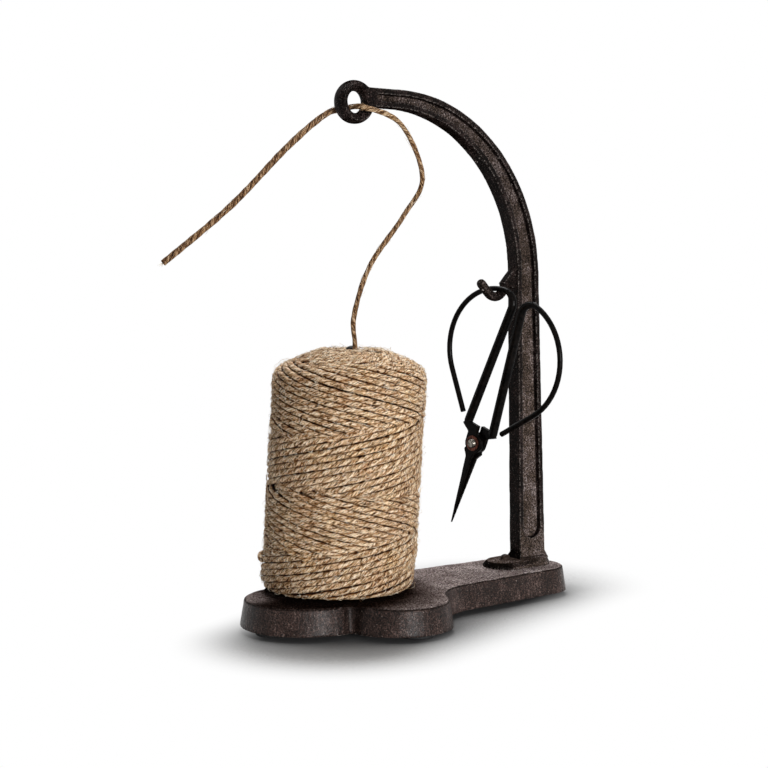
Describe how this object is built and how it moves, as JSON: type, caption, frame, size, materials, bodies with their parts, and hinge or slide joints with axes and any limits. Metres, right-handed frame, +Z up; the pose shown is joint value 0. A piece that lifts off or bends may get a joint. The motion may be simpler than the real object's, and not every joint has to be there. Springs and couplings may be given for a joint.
{
  "type": "string holder",
  "caption": "Cast-iron twine stand: club-shaped base with a spindle for a spool of jute, an arched arm with a thread eye, and small scissors hanging from a hook.",
  "frame": {"origin": "on the table, under the middle of the base", "axes": "+Z up, +X along the tongue of the base from the spool to the post"},
  "size_m": [0.1834, 0.1045, 0.2328],
  "materials": {
    "cast_iron": "rough brown-black cast iron, waxed",
    "blackened_steel": "forged and blackened, satin",
    "zinc_steel": "dull plated",
    "rivet_metal": "worn bright",
    "foot_rubber": "matt",
    "jute": "natural three-ply twine"
  },
  "bodies": {
    "stand": {"base": "cast_iron", "foot_nose": "foot_rubber", "foot_front": "foot_rubber", "foot_rear": "foot_rubber", "foot_tongue": "foot_rubber", "arm": "cast_iron", "plate_screw": "zinc_steel", "plate_washer": "zinc_steel", "plate_nut": "zinc_steel", "post_screw": "zinc_steel", "post_washer": "zinc_steel", "spindle": "blackened_steel", "spindle_screw": "zinc_steel", "spindle_washer": "zinc_steel", "string": "jute"},
    "spool": {"twine_package": "jute", "twine_winding": "jute"},
    "scissors": {"scissors_left": "blackened_steel", "scissors_rivet": "rivet_metal", "rivet_washer_front": "rivet_metal", "rivet_washer_back": "rivet_metal"},
    "right_blade": {"scissors_right": "blackened_steel"}
  },
  "joints": [
    {"name": "spool_spin", "type": "hinge", "parent": "stand", "child": "spool", "pos_m": [-0.0336, 0, 0.0638], "axis": [0, 0, 1], "continuous": true},
    {"name": "scissors_swing", "type": "hinge", "parent": "stand", "child": "scissors", "pos_m": [0.0499, 0, 0.1398], "axis": [-0.9945, -0.1045, 0], "range_deg": [-40, 40]},
    {"name": "scissors_open", "type": "hinge", "parent": "scissors", "child": "right_blade", "pos_m": [0.04872, 0.01126, 0.07139], "axis": [-0.9945, -0.1045, 0], "range_deg": [-35, 0]}
  ]
}
